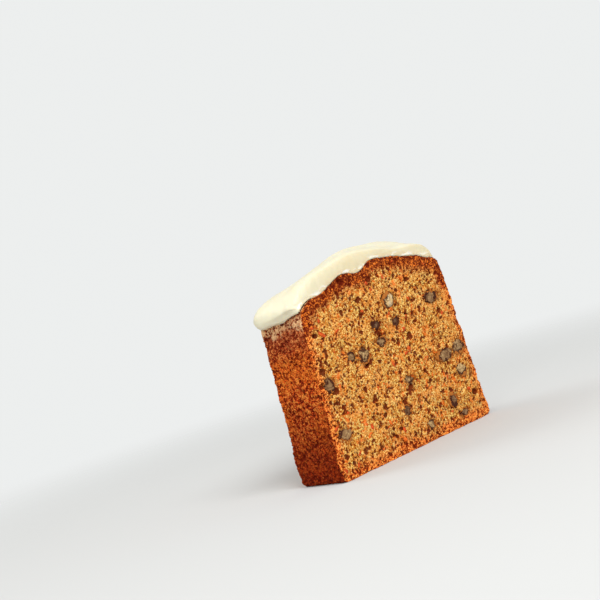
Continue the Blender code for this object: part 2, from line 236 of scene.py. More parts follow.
class Paint:
    """A material in the making."""

    def __init__(self, name):
        self.material = bpy.data.materials.new(name)
        self.material.use_nodes = True
        self.tree = self.material.node_tree
        self.tree.nodes.clear()
        self.place = self.node("ShaderNodeTexCoord", output="Object")

    def node(self, kind, settings=None, inputs=None, output=0):
        """Adds a node: its settings first, then the values or links of its sockets."""
        made = self.tree.nodes.new(kind)
        for name, value in (settings or {}).items():
            setattr(made, name, value)
        for name, value in (inputs or {}).items():
            if isinstance(value, Number):
                self.tree.links.new(value.socket, made.inputs[name])
            else:
                made.inputs[name].default_value = value
        return Number(self, made.outputs[output])

    def math(self, operation, first, second):
        """One step of a sum."""
        return self.node("ShaderNodeMath", {"operation": operation}, {0: first, 1: second})

    def mix(self, share, first, second, blend="MIX"):
        """A mix of two colours."""
        inputs = {0: share}
        for index, colour in ((6, first), (7, second)):
            inputs[index] = colour if isinstance(colour, Number) else (*colour, 1.0)
        settings = {"data_type": "RGBA", "blend_type": blend}
        return self.node("ShaderNodeMix", settings, inputs, 2)

    def noise(self, size, detail=3.0, roughness=0.55, shift=0.0, squeeze=(1.0, 1.0, 1.0)):
        """Soft noise whose lumps are about the given size, longer along an axis that is squeezed."""
        inputs = {0: self.place, 1: squeeze, 2: (shift, shift / 2, -shift)}
        moved = self.node("ShaderNodeVectorMath", {"operation": "MULTIPLY_ADD"}, inputs)
        inputs = {"Vector": moved, "Scale": 1 / size, "Detail": detail, "Roughness": roughness}
        return self.node("ShaderNodeTexNoise", None, inputs)

    def cells(self, size, output="Distance"):
        """Distance from the middle of scattered cells of about the given size, or their shades."""
        return self.node("ShaderNodeTexVoronoi", None, {"Vector": self.place, "Scale": 1 / size}, output)

    def attribute(self, name, output="Fac"):
        """A value kept on the mesh's points."""
        return self.node("ShaderNodeAttribute", {"attribute_name": name}, None, output)

    def parts(self, vector):
        """The three parts of a vector."""
        first = self.node("ShaderNodeSeparateXYZ", None, {0: vector})
        return [Number(self, socket) for socket in first.socket.node.outputs]

    def tones(self, share, dark, middle, light):
        """A colour from dark through middle to light as a value goes from 0 to 1."""
        lower = self.mix(share.between(0.0, 0.5), dark, middle)
        return self.mix(share.between(0.5, 1.0), lower, light)

    def bump(self, height, strength, distance):
        """The surface's direction, bent by small relief."""
        inputs = {"Height": height, "Strength": strength, "Distance": distance}
        return self.node("ShaderNodeBump", None, inputs)

    def surface(self, inputs):
        """Closes the material with a Principled surface."""
        self.end(self.node("ShaderNodeBsdfPrincipled", None, inputs))
        return self.material

    def end(self, shader):
        """Joins a shader to the material's output."""
        output = self.tree.nodes.new("ShaderNodeOutputMaterial")
        self.tree.links.new(shader.socket, output.inputs["Surface"])


def points_of(mesh):
    """The mesh's points as an array."""
    places = np.empty(len(mesh.vertices) * 3)
    mesh.vertices.foreach_get("co", places)
    return places.reshape(-1, 3)


def directions_of(mesh):
    """The direction out of the surface at each point."""
    directions = np.empty(len(mesh.vertices) * 3)
    mesh.vertex_normals.foreach_get("vector", directions)
    return directions.reshape(-1, 3)


def depth_below(places):
    """How far each place lies behind the nearer cut face."""
    return np.minimum(places[:, 1] - FRONT_Y, BACK_Y - places[:, 1])


def box_of(node):
    """A node's lowest and highest corners as arrays."""
    return [np.array([*corner]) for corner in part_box(node)]


def finished(build, name):
    """The mesh of a bmesh that is done."""
    mesh = bpy.data.meshes.new(name)
    build.to_mesh(mesh)
    build.free()
    return mesh


def set_points(mesh, places):
    """Moves the mesh's points."""
    mesh.vertices.foreach_set("co", places.ravel())
    mesh.update()


def set_attribute(mesh, name, kind, values):
    """Keeps a value or vector on each point."""
    layer = mesh.attributes.new(name, kind, "POINT")
    field = "value" if kind == "FLOAT" else "vector"
    layer.data.foreach_set(field, np.ascontiguousarray(values, dtype=np.float32).ravel())


def lumps(places, size, seed, octaves=2):
    """Smooth noise from -1 to 1 at each place, with lumps of about the given size."""
    total = np.zeros(len(places))
    weight = 1.0
    for octave in range(octaves):
        table = np.random.default_rng(seed + octave).uniform(-1, 1, (64, 64, 64))
        scaled = places / size * 2**octave + 500
        cell = np.floor(scaled).astype(int)
        part = scaled - cell
        part = part * part * (3 - 2 * part)
        value = np.zeros(len(places))
        for corner in range(8):
            step = np.array([corner & 1, corner >> 1 & 1, corner >> 2])
            share = np.where(step, part, 1 - part).prod(axis=1)
            x, y, z = ((cell + step) % 64).T
            value += share * table[x, y, z]
        total += value * weight
        weight *= 0.5
    return total


def smooth_rise(values, low, high):
    """A smooth rise from 0 at low to 1 at high."""
    share = np.clip((values - low) / (high - low), 0, 1)
    return share * share * (3 - 2 * share)


class Sheet:
    """Values on a fine grid over a rectangle, read smoothly at any place."""

    def __init__(self, low, high, step):
        self.low = np.array(low)
        self.step = step
        self.size = np.ceil((np.array(high) - self.low) / step).astype(int) + 2
        self.values = np.zeros(self.size)

    def places(self):
        """The grid's points as a flat list."""
        across, up = np.meshgrid(*[np.arange(count) * self.step for count in self.size], indexing="ij")
        return np.stack([across.ravel(), up.ravel()], axis=1) + self.low

    def at(self, first, second):
        """Values at many places."""
        scaled = (np.stack([first, second], axis=1) - self.low) / self.step
        scaled = np.clip(scaled, 0, self.size - 1.001)
        cell = scaled.astype(int)
        part = scaled - cell
        total = np.zeros(len(scaled))
        for a in (0, 1):
            for b in (0, 1):
                share = np.abs(1 - a - part[:, 0]) * np.abs(1 - b - part[:, 1])
                total += share * self.values[cell[:, 0] + a, cell[:, 1] + b]
        return total

    def press(self, middle, reach, stretch, turn, depth):
        """Sinks one rounded pore into the sheet."""
        centre = (np.array(middle) - self.low) / self.step
        radius = reach / self.step
        wide = int(radius * 1.5) + 1
        start = np.maximum(np.floor(centre).astype(int) - wide, 0)
        end = np.minimum(np.floor(centre).astype(int) + wide + 1, self.size)
        if (end <= start).any():
            return
        across = np.arange(start[0], end[0])[:, None] - centre[0]
        up = np.arange(start[1], end[1])[None, :] - centre[1]
        along = (across * math.cos(turn) + up * math.sin(turn)) / stretch
        aside = (up * math.cos(turn) - across * math.sin(turn)) * stretch
        left = 1 - (along**2 + aside**2) / radius**2
        dent = depth * np.sqrt(np.clip(left, 0, 1))
        patch = self.values[start[0] : end[0], start[1] : end[1]]
        np.maximum(patch, dent, out=patch)


def pore_sheet(low, high, groups, seed):
    """A sheet with pores: each group gives a count, a usual radius and a depth for each radius."""
    sheet = Sheet(low, high, 0.1 * MM)
    chance = np.random.default_rng(seed)
    for count, radius, steepness in groups:
        for middle in chance.uniform(low, high, (count, 2)):
            reach = radius * min(chance.lognormal(-0.08, 0.38), 2.2)
            stretch = chance.uniform(0.72, 1.35)
            depth = reach * steepness * chance.uniform(0.6, 1.2)
            sheet.press(middle, reach, stretch, chance.uniform(0, math.pi), depth)
    return sheet


def tear_caverns(sheet, low, high, count, seed):
    """Adds large torn pores, each a cluster of rounded ones."""
    chance = np.random.default_rng(seed)
    for middle in chance.uniform(low, high, (count, 2)):
        wide = chance.uniform(0.6, 1.25) * MM
        for _ in range(4):
            place = middle + chance.normal(0, wide * 0.55, 2)
            reach = wide * chance.uniform(0.5, 1.0)
            sheet.press(place, reach, chance.uniform(0.7, 1.4), chance.uniform(0, math.pi), reach * 1.25)


def merged_copy(name, nodes):
    """One mesh of some CAD nodes, with doubled points merged."""
    build = bmesh.new()
    for node in nodes:
        build.from_mesh(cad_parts[node].data)
    bmesh.ops.remove_doubles(build, verts=build.verts, dist=WELD)
    mesh = finished(build, name)
    mesh.materials.clear()
    return mesh


def new_piece(name, mesh):
    """An object at the origin that holds a mesh."""
    piece = bpy.data.objects.new(name, mesh)
    bpy.context.scene.collection.objects.link(piece)
    return piece


def settle(piece):
    """Turns a piece with its modifiers into a plain mesh."""
    graph = bpy.context.evaluated_depsgraph_get()
    mesh = bpy.data.meshes.new_from_object(piece.evaluated_get(graph))
    piece.modifiers.clear()
    piece.data = mesh
    return piece


def remeshed(piece, grain, smoothing):
    """Gives a piece an even fine surface."""
    even = piece.modifiers.new("even", "REMESH")
    even.mode = "VOXEL"
    even.voxel_size = grain
    soft = piece.modifiers.new("soft", "SMOOTH")
    soft.factor = 0.5
    soft.iterations = smoothing
    return settle(piece)


def dress(piece, nodes, material):
    """Gives a finished piece its material and its place in the frame."""
    piece.data.materials.clear()
    piece.data.materials.append(material)
    piece.data.shade_smooth()
    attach(piece, BODY)
    if nodes:
        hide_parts(*nodes)


OUTLINE_STEP = 0.5 * MM


def outline_points():
    """The slice's outline halfway through its thickness, closely spaced, as (X, Z) in order."""
    places = points_of(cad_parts[CAKE_NODE].data)
    ring = np.unique(np.round(places[np.abs(places[:, 1]) < 2 * MM][:, [0, 2]], 6), axis=0)
    middle = (ring.min(axis=0) + ring.max(axis=0)) / 2
    around = np.arctan2(ring[:, 1] - middle[1], ring[:, 0] - middle[0])
    ring = ring[np.argsort(around)]
    fine = []
    for start, end in zip(ring, np.roll(ring, -1, axis=0)):
        steps = max(1, round(np.linalg.norm(end - start) / OUTLINE_STEP))
        for step in range(steps):
            fine.append(start + (end - start) * step / steps)
    return np.array(fine)


OUTLINE = outline_points()
SHOULDER_Z = 70 * MM
TOP_BAND_Z = 68 * MM
BASE_BAND = 1.2 * MM


def nearest(places, targets):
    """For each place, the distance to the nearest target and that target's number."""
    tree = KDTree(len(targets))
    for index, (x, z) in enumerate(targets):
        tree.insert((x, z, 0), index)
    tree.balance()
    found = [tree.find((x, z, 0)) for x, z in places]
    return np.array([hit[2] for hit in found]), np.array([hit[1] for hit in found])


def distance_sheet(targets):
    """The distance to some of the outline's points, over the whole section."""
    margin = 2 * MM
    low = (CAKE_LOW.x - margin, CAKE_LOW.z - margin)
    high = (CAKE_HIGH.x + margin, CAKE_HIGH.z + margin)
    sheet = Sheet(low, high, 0.4 * MM)
    sheet.values = nearest(sheet.places(), targets)[0].reshape(sheet.size)
    return sheet


def outline_sheets():
    """Distances to the top crust, the sides and the base."""
    top = OUTLINE[:, 1] > TOP_BAND_Z
    base = OUTLINE[:, 1] < BASE_BAND
    return [distance_sheet(OUTLINE[kind]) for kind in (top, ~(top | base), base)]


class CrumbFacts:
    """What the relief and the material need to know of each point of the cake's surface."""

    def __init__(self, mesh, look):
        self.places = points_of(mesh)
        self.directions = directions_of(mesh)
        x, y, z = self.places.T
        self.edges = [sheet.at(x, z) for sheet in outline_sheets()]
        rim = np.minimum.reduce(self.edges)
        inward = smooth_rise(rim, 1.4 * MM, 2.6 * MM)
        flat = smooth_rise(np.abs(self.directions[:, 1]), 0.35, 0.75)
        self.skin = (1 - inward) * (1 - flat)
        self.side = np.where(y > 0, 1.0, -1.0)
        wobble = [lumps(self.places, 0.9 * MM, 11 + axis, 2) * 0.32 * MM for axis in range(2)]
        self.pores = self.cut_pores(x + wobble[0], z + wobble[1], look) * (1 - self.skin)
        self.pores += self.crust_pores(wobble) * self.skin
        below = depth_below(self.places) - 0.7 * MM
        # How deep a point lies in a pore or below the cut face; it only darkens the colour, as painted shade
        self.pore_shade_depth = np.maximum(self.pores, np.clip(below, 0, MM) * (1 - self.skin))
        self.grain = lumps(self.places, 0.95 * MM, 21, 2)
        self.nut_gap, self.nut_way = nut_field(self.places)

    def cut_pores(self, first, second, look):
        """Depth of the pores in the two cut faces."""
        low = (CAKE_LOW.x, CAKE_LOW.z)
        high = (CAKE_HIGH.x, CAKE_HIGH.z)
        groups = ((look.fine_pores, 0.30 * MM, 1.0), (look.pores, 0.56 * MM, 0.95))
        depth = np.zeros(len(first))
        for side, seed in ((-1, 101), (1, 202)):
            sheet = pore_sheet(low, high, groups, seed)
            tear_caverns(sheet, low, high, look.caverns, seed + 7)
            depth += (self.side == side) * sheet.at(first, second)
        return depth

    def crust_pores(self, wobble):
        """Depth of the small pores in the crust, laid out along the outline."""
        length = OUTLINE_STEP * len(OUTLINE)
        groups = ((14000, 0.30 * MM, 1.1), (600, 0.55 * MM, 0.8))
        sheet = pore_sheet((0, FRONT_Y), (length, BACK_Y), groups, 303)
        near = self.skin > 0
        depth = np.zeros(len(self.places))
        _, index = nearest(self.places[near][:, [0, 2]], OUTLINE)
        depth[near] = sheet.at(index * OUTLINE_STEP + wobble[0][near], (self.places[:, 1] + wobble[1])[near])
        return depth * smooth_rise(self.places[:, 2], 0.02 * MM, 0.7 * MM)

    def relief(self):
        """Where each point goes: pores sink, grains rise, and the crust is rough."""
        grain = self.grain
        broad = lumps(self.places, 4.5 * MM, 31, 2)
        cut = 1 - self.skin
        moved = self.places.copy()
        moved[:, 1] -= self.side * self.pores * cut
        lift = self.skin * (0.34 * MM * grain + 0.20 * MM * broad - self.pores) + cut * 0.13 * MM * grain
        raised = smooth_rise(self.places[:, 2], 0.02 * MM, 0.7 * MM)
        moved += self.directions * (lift * raised)[:, None]
        ragged = lumps(self.places, 1.7 * MM, 41, 2)
        lap = (0.40 + 0.85 * ragged) * MM * cut * (1 - smooth_rise(np.abs(self.nut_gap), 0.5 * MM, 1.8 * MM))
        moved[:, [0, 2]] += self.nut_way * lap[:, None]
        return np.clip(moved, np.array(CAKE_LOW), np.array(CAKE_HIGH))

    def keep_on(self, mesh):
        """Keeps on each point what the material needs."""
        set_attribute(mesh, "edge", "FLOAT_VECTOR", np.stack(self.edges, axis=1) / (10 * MM))
        set_attribute(mesh, "pore_shade_depth", "FLOAT", self.pore_shade_depth / MM)
        set_attribute(mesh, "skin", "FLOAT", self.skin)
        set_attribute(mesh, "rise", "FLOAT", self.grain)
        stain = 1 - smooth_rise(self.nut_gap, 0.3 * MM, 1.5 * MM)
        set_attribute(mesh, "stain", "FLOAT", stain * (1 - self.skin))


def largest_part(build):
    """The faces of the largest connected part of a mesh."""
    left = set(build.faces)
    largest = set()
    while left:
        part = {left.pop()}
        waiting = list(part)
        while waiting:
            around = {face for edge in waiting.pop().edges for face in edge.link_faces} & left
            left -= around
            part |= around
            waiting.extend(around)
        if len(part) > len(largest):
            largest = part
    return largest


def slab_of(mesh, name, low, high):
    """The part of a mesh whose faces lie between two depths, closed with flat caps."""
    build = bmesh.new()
    build.from_mesh(mesh)
    outside = [face for face in build.faces if not low <= face.calc_center_median().y < high]
    bmesh.ops.delete(build, geom=outside, context="FACES")
    kept = largest_part(build)
    bmesh.ops.delete(build, geom=[face for face in build.faces if face not in kept], context="FACES")
    open_edges = [edge for edge in build.edges if edge.is_boundary]
    for edge in open_edges:
        edge.smooth = False
    filled = bmesh.ops.holes_fill(build, edges=open_edges)
    bmesh.ops.triangulate(build, faces=filled["faces"])
    return finished(build, name)


def cake_material(look):
    """Golden porous crumb that darkens to a browned crust."""
    paint = Paint("cake")
    top, side, base = paint.parts(paint.attribute("edge", "Vector"))
    pore_shade_depth = paint.attribute("pore_shade_depth")
    skin = paint.attribute("skin")
    stain = paint.attribute("stain")
    rise = paint.attribute("rise")
    grain = paint.noise(0.85 * MM, 3, 0.6)
    fine = paint.noise(0.38 * MM, 2, 0.5, 3.0)
    patch = paint.noise(5.5 * MM, 2, 0.5, 5.0)
    broad = paint.noise(15 * MM, 1, 0.5, 9.0)
    speck = paint.cells(0.52 * MM, "Color")
    gap = paint.cells(0.52 * MM)
    bead = paint.cells(1.15 * MM)
    coarse = paint.noise(1.25 * MM, 3, 0.65, 13.0)
    olive = paint.noise(8 * MM, 2, 0.5, 7.0)
    share = (speck - 0.5) * 1.1 + (grain - 0.5) * 3.4 + (fine - 0.5) * 2.8 + (patch - 0.5) * 0.9
    # Raised grains lighter and low ones darker: painted light and shade that follow the relief
    share = share + rise * 0.25 + 0.61
    # The open crumb: golden grains, moist and dull patches, painted shade between the grains, and stains
    # beside the nuts
    crumb = paint.tones(share, look.dark, look.middle, look.light)
    crumb = paint.mix(patch.between(0.50, 0.64) * grain.between(0.35, 0.6) * 0.6, crumb, look.moist)
    crumb = paint.mix(olive.between(0.45, 0.62) * 0.7, crumb, look.olive, "MULTIPLY")
    # Painted shade between the crumb's grains
    crumb = paint.mix(gap.between(0.42, 0.62) * 0.45, crumb, look.dark)
    crumb = paint.mix(stain * grain.between(0.40, 0.6) * 0.85, crumb, look.pore_shade_and_stain)
    # The crust on the sides
    # Raised crust grains lighter and low ones darker: painted light and shade that follow the relief
    rough = rise * 0.45 + (coarse - 0.5) * 3.0 + (fine - 0.5) * 3.4 + (speck - 0.5) * 0.6
    rough = rough + (patch - 0.5) * 0.6
    crust = paint.tones(rough * 1.05 + 0.47, look.dark_crust, look.crust, look.light_crust)
    crust = paint.mix(broad.between(0.42, 0.60) * share.between(0.3, 0.8) * 0.5, crust, look.moist)
    # Painted shade between the crust's grains
    crust = paint.mix(gap.between(0.36, 0.6) * 0.45, crust, look.dark_crust)
    # The browned rim of the cut faces, whose width wanders
    wander = (grain - 0.5) * 0.30 + (broad - 0.5) * 0.35
    near_side = 1 - (side + wander).between(0.10, 0.56)
    near_base = 1 - (base + wander * 1.6).between(0.16, 0.66)
    near_top = 1 - (top + wander * 1.8).between(0.38, 0.80)
    ruddy = paint.noise(2.6 * MM, 2, 0.5, 11.0)
    crumb = paint.mix(ruddy.between(0.58, 0.68) * 0.65, crumb, look.ruddy)
    edge = paint.tones(share * 1.25 - 0.20, look.dark_crust, look.crust, look.light_crust)
    crumb = paint.mix(near_side.most(near_base) * 0.88, crumb, edge)
    top_band = paint.tones(share * 1.4 - 0.57, look.dark_crust, look.top_crust, look.moist)
    crumb = paint.mix(near_top * 0.94, crumb, top_band)
    # The sides: painted shade darker low down, plum high up, and a pale film below the frosting on the left
    low = 1 - (base + (broad - 0.5)).between(0.3, 4.4)
    crust = paint.mix(low, crust, look.painted_low_shade, "MULTIPLY")
    high = 1 - (top + (broad - 0.5) * 0.8).between(0.35, 1.7)
    plum = paint.tones(rough * 1.0 + 0.35, look.dark_crust, look.plum, look.light_plum)
    crust = paint.mix(high * 0.75, crust, plum)
    across = paint.parts(paint.place)[0]
    film = 1 - (top + (patch - 0.5) * 1.2 + (broad - 0.5) * 1.2).between(0.02, 0.34)
    film = film * (grain + rise * 0.2).between(0.36, 0.54) * (0 - across).between(0.0, 20 * MM)
    crust = paint.mix(film * 0.9, crust, look.dust)
    colour = paint.mix(skin, crumb, crust)
    # Painted shade: darker inside the pores and below the cut faces
    colour = paint.mix(pore_shade_depth.between(0.08, 0.42) * 0.92, colour, look.pore_shade_and_stain)
    relief = grain * 0.7 + fine * 0.4 - gap * 0.8 - bead * 0.7
    inputs = {
        "Base Color": colour,
        "Roughness": 0.50 + fine * 0.35,
        "Specular IOR Level": 0.05,
        "Normal": paint.bump(relief, 0.75, 0.45 * MM),
    }
    return paint.surface(inputs)


def frosting_material(look):
    """Smooth ivory frosting, yellower where it was cut, wet along the crust with painted glints on the wet
    ridges, and its cut face lightened at the left as painted light.
    """
    paint = Paint("frosting")
    cut = paint.attribute("cut")
    thin = paint.attribute("thin")
    thick = paint.attribute("thick")
    cloud = paint.noise(9 * MM, 2, 0.5)
    smear = paint.noise(3.4 * MM, 3, 0.5, 2.0)
    curd = paint.noise(0.8 * MM, 2, 0.5, 6.0)
    # The cut tint thins toward the thick left end: painted light that evens the front face with the brighter
    # side lobe
    colour = paint.mix(cut * (0.6 - thick * 0.5) + cloud.between(0.42, 0.75) * 0.3, look.outer, look.cut)
    bead = paint.noise(1.5 * MM, 2, 0.5, 4.0, (0.32, 1.0, 0.8))
    # Wet ridges along the crust, which also carry the painted glints
    wet_and_painted_glint = thin * bead.between(0.50, 0.58)
    colour = paint.mix(thin * (1 - wet_and_painted_glint) * 0.30, colour, look.stained)
    # Painted highlight: glints on the wet ridges
    colour = paint.mix(wet_and_painted_glint * 0.8, colour, look.painted_glint)
    relief = smear * (0.5 + thin) + cloud * 0.6 + curd * 0.12
    inputs = {
        "Base Color": colour,
        "Roughness": 0.36 + smear * 0.2 - wet_and_painted_glint * 0.25,
        "Specular IOR Level": 0.5,
        "Subsurface Weight": 0.25,
        "Subsurface Radius": (0.0035, 0.0025, 0.0014),
        "Normal": paint.bump(relief, 0.4, 0.4 * MM),
    }
    return paint.surface(inputs)


def walnut_material(look):
    """Cut walnut with its dark papery skin, moist from the batter, with a painted shadow on one side of each
    piece and painted highlight streaks on the palest.
    """
    paint = Paint("walnut")
    rim = paint.attribute("rim")
    tint = paint.attribute("tint")
    fold = paint.noise(2.1 * MM, 3, 0.6)
    fine = paint.noise(0.55 * MM, 2, 0.5, 4.0)
    crease = paint.noise(3.2 * MM, 2, 0.5, 8.0)
    pale = tint + (fold - 0.5) * 1.1 + (fine - 0.5) * 0.5
    colour = paint.tones(pale, look.skin, look.grey, look.meat)
    # Painted highlight: pale glossy streaks on the palest pieces
    highlight_streak = paint.noise(1.9 * MM, 2, 0.5, 1.0, (1.0, 1.0, 0.35))
    shine = tint.between(0.84, 1.0) * highlight_streak.between(0.50, 0.60)
    colour = paint.mix(shine, colour, look.pale)
    colour = paint.mix(fine.between(0.52, 0.68) * 0.32, colour, look.purple)
    groove = 1 - (crease - 0.5).most(0.5 - crease).between(0.0, 0.07)
    colour = paint.mix(groove * (0.5 - shine * 0.5), colour, look.skin)
    # Dark near the rim: the real papery skin, and a painted shadow on one side of each piece
    dark = (rim + (fold - 0.5) * 1.7 + (crease - 0.5) * 1.7).between(0.33, 0.55)
    colour = paint.mix(dark * 0.96, colour, look.skin)
    stuck = (rim + (fold - 0.5) * 2.6 + (fine - 0.5) * 1.2).between(0.84, 0.94)
    colour = paint.mix(stuck * 0.8, colour, look.stuck)
    inputs = {
        "Base Color": colour,
        "Roughness": 0.26 + fine * 0.4,
        "Specular IOR Level": 0.08,
        "Coat Weight": fold.between(0.50, 0.58) * (1 - dark) * 0.5,
        "Coat Roughness": 0.16,
        "Normal": paint.bump(fold * 0.8 + fine * 0.3 - groove * 0.3, 0.7, 0.6 * MM),
    }
    return paint.surface(inputs)


def carrot_material(look):
    """Baked carrot, moist and orange."""
    paint = Paint("carrot")
    fibre = paint.noise(0.6 * MM, 2, 0.5)
    place = paint.noise(6 * MM, 1, 0.5, 3.0)
    deeper = tuple(channel * 0.45 for channel in look.carrot)
    colour = paint.mix(fibre.between(0.35, 0.65), deeper, look.carrot)
    colour = paint.mix(place.between(0.45, 0.65) * 0.6, colour, look.pale_carrot)
    inputs = {
        "Base Color": colour,
        "Roughness": 0.38 + fibre * 0.25,
        "Specular IOR Level": 0.15,
        "Normal": paint.bump(fibre, 0.4, 0.3 * MM),
    }
    return paint.surface(inputs)


def crumb_material(look):
    """Loose crumbs, the colours of the crumb and the crust."""
    paint = Paint("crumbs")
    cloud = paint.noise(1.6 * MM, 2, 0.5)
    fine = paint.noise(0.4 * MM, 2, 0.5)
    _, depth, height = paint.parts(paint.place)
    colour = paint.tones(cloud * 2.2 - 0.55, look.dark_crust, look.crust, look.light_crust)
    cut = depth.most(0 - depth).between(BACK_Y - 1.5 * MM, BACK_Y - 0.5 * MM)
    colour = paint.mix(cut * 0.7, colour, look.middle)
    # Darker low on the sides, following the crust's painted shade there
    colour = paint.mix((1 - height.between(4 * MM, 44 * MM)) * (1 - cut) * 0.75, colour, look.dark_crust)
    colour = paint.mix(height.between(48 * MM, 62 * MM) * (1 - cut) * 0.7, colour, look.plum)
    inputs = {
        "Base Color": paint.mix(fine.between(0.5, 0.7) * 0.6, colour, look.dark_crust),
        "Roughness": 0.6 + fine * 0.25,
        "Specular IOR Level": 0.1,
        "Normal": paint.bump(fine, 0.6, 0.3 * MM),
    }
    return paint.surface(inputs)


class NodeMaker:
    """A Geometry Nodes tree in the making."""

    def __init__(self, name):
        self.tree = bpy.data.node_groups.new(name, "GeometryNodeTree")
        self.tree.interface.new_socket("Geometry", in_out="INPUT", socket_type="NodeSocketGeometry")
        self.tree.interface.new_socket("Geometry", in_out="OUTPUT", socket_type="NodeSocketGeometry")
        self.identifiers = {}
        self.values = {}
        self.entry = None

    def size(self, name, value, kind="NodeSocketFloat"):
        """Declares a named input of the tree."""
        item = self.tree.interface.new_socket(name, in_out="INPUT", socket_type=kind)
        self.identifiers[name] = item.identifier
        self.values[item.identifier] = value

    def start(self):
        """Adds the tree's entry once its inputs are named."""
        self.entry = self.tree.nodes.new("NodeGroupInput")
        return self.entry.outputs["Geometry"]

    def given(self, name):
        """One of the tree's named inputs."""
        return self.entry.outputs[name]

    def node(self, kind, settings=None, inputs=None):
        """Adds a node: its settings first, then the values or links of its sockets."""
        made = self.tree.nodes.new(kind)
        for name, value in (settings or {}).items():
            setattr(made, name, value)
        for name, value in (inputs or {}).items():
            if isinstance(value, bpy.types.NodeSocket):
                self.tree.links.new(value, made.inputs[name])
            else:
                made.inputs[name].default_value = value
        return made

    def math(self, operation, first, second):
        """One step of a sum."""
        return self.node("ShaderNodeMath", {"operation": operation}, {0: first, 1: second}).outputs[0]

    def random_vector(self, low, high):
        """A vector for each point, drawn between two corners."""
        inputs = {0: low, 1: high, "Seed": self.given("Seed")}
        return self.node("FunctionNodeRandomValue", {"data_type": "FLOAT_VECTOR"}, inputs).outputs[0]

    def end(self, geometry):
        """Joins the result to the tree's output."""
        output = self.tree.nodes.new("NodeGroupOutput")
        self.tree.links.new(geometry, output.inputs["Geometry"])

    def run_on(self, name, mesh):
        """Grows the tree's result on a mesh and returns it as a plain piece."""
        piece = new_piece(name, mesh)
        grown = piece.modifiers.new("grown", "NODES")
        grown.node_group = self.tree
        for identifier, value in self.values.items():
            grown[identifier] = value
        return settle(piece)


# How fine the unevenness of a loose crumb is, in waves for each metre
CRUMB_ROUGHNESS = 2200.0


def scatter_tree(name, density, apart, seed, chosen):
    """The start of a tree that puts things on a surface: points where an attribute asks for them."""
    maker = NodeMaker(name)
    maker.size("Density", float(density))
    maker.size("Apart", apart)
    maker.size("Seed", seed, "NodeSocketInt")
    surface = maker.start()
    pick = maker.node("GeometryNodeInputNamedAttribute", {"data_type": "FLOAT"}, {"Name": chosen})
    settings = {"distribute_method": "POISSON"}
    inputs = {
        "Mesh": surface,
        "Distance Min": maker.given("Apart"),
        "Density Max": maker.given("Density"),
        "Density Factor": pick.outputs["Attribute"],
        "Seed": maker.given("Seed"),
    }
    points = maker.node("GeometryNodeDistributePointsOnFaces", settings, inputs)
    return maker, points


def shred_mesh_nodes(maker, look):
    """A short bent strip of carrot, lying along X."""
    half = look.length / 2
    inputs = {"Resolution": 8, "Start": (-half, 0, 0), "Middle": (0, half * 0.5, 0), "End": (half, 0, 0)}
    line = maker.node("GeometryNodeCurveQuadraticBezier", None, inputs).outputs[0]
    along = maker.node("GeometryNodeSplineParameter").outputs["Factor"]
    left = maker.math("SUBTRACT", 1.04, along)
    ahead = maker.math("ADD", 0.04, along)
    taper = maker.math("POWER", maker.math("MULTIPLY", left, ahead), 0.5)
    wide = maker.math("MULTIPLY", taper, 2.0)
    inputs = {"Width": look.width, "Height": look.width * 0.35}
    profile = maker.node("GeometryNodeCurvePrimitiveQuadrilateral", None, inputs).outputs[0]
    inputs = {"Curve": line, "Profile Curve": profile, "Scale": wide, "Fill Caps": True}
    return maker.node("GeometryNodeCurveToMesh", None, inputs).outputs["Mesh"]


def grow_shreds(mesh, look, material):
    """Carrot shreds that lie in the cut faces."""
    maker, points = scatter_tree("carrot_shreds", look.density, 2.5 * MM, 4, "open_crumb")
    strip = shred_mesh_nodes(maker, look)
    turn = maker.random_vector((-0.25, -0.25, 0.0), (0.25, 0.25, math.tau))
    inputs = {"Rotation": points.outputs["Rotation"], "Rotate By": turn}
    turned = maker.node("FunctionNodeRotateRotation", {"rotation_space": "LOCAL"}, inputs).outputs[0]
    scale = maker.random_vector((0.3, 0.45, 0.8), (1.1, 1.25, 1.0))
    finish_tree(maker, points, strip, turned, scale, material)
    return maker.run_on("carrot_shreds", mesh)


def grow_crumbs(mesh, look, material):
    """Loose crumbs that cling to the crust and the cut's edges."""
    maker, points = scatter_tree("loose_crumbs", look.crumb_density, 0.9 * MM, 7, "crumbly")
    ball = maker.node("GeometryNodeMeshIcoSphere", None, {"Radius": look.crumb, "Subdivisions": 2})
    place = maker.node("GeometryNodeInputPosition").outputs[0]
    inputs = {"Vector": place, "Scale": CRUMB_ROUGHNESS, "Detail": 1.0}
    rough = maker.node("ShaderNodeTexNoise", None, inputs).outputs["Color"]
    centred = maker.node("ShaderNodeVectorMath", {"operation": "SUBTRACT"}, {0: rough, 1: (0.5, 0.5, 0.5)})
    inputs = {0: centred.outputs[0], "Scale": look.crumb * 1.6}
    push = maker.node("ShaderNodeVectorMath", {"operation": "SCALE"}, inputs).outputs[0]
    inputs = {"Geometry": ball.outputs["Mesh"], "Offset": push}
    uneven = maker.node("GeometryNodeSetPosition", None, inputs).outputs[0]
    turn = maker.random_vector((0.0, 0.0, 0.0), (math.tau, math.tau, math.tau))
    scale = maker.random_vector((0.35, 0.35, 0.3), (1.2, 1.0, 0.9))
    finish_tree(maker, points, uneven, turn, scale, material)
    return maker.run_on("loose_crumbs", mesh)


def finish_tree(maker, points, thing, turn, scale, material):
    """Puts a thing on each point, makes the copies real, sets their material and ends the tree."""
    inputs = {"Points": points.outputs["Points"], "Instance": thing, "Rotation": turn, "Scale": scale}
    placed = maker.node("GeometryNodeInstanceOnPoints", None, inputs)
    real = maker.node("GeometryNodeRealizeInstances", None, {"Geometry": placed.outputs[0]})
    inputs = {"Geometry": real.outputs[0], "Material": material}
    painted = maker.node("GeometryNodeSetMaterial", None, inputs)
    maker.end(painted.outputs[0])


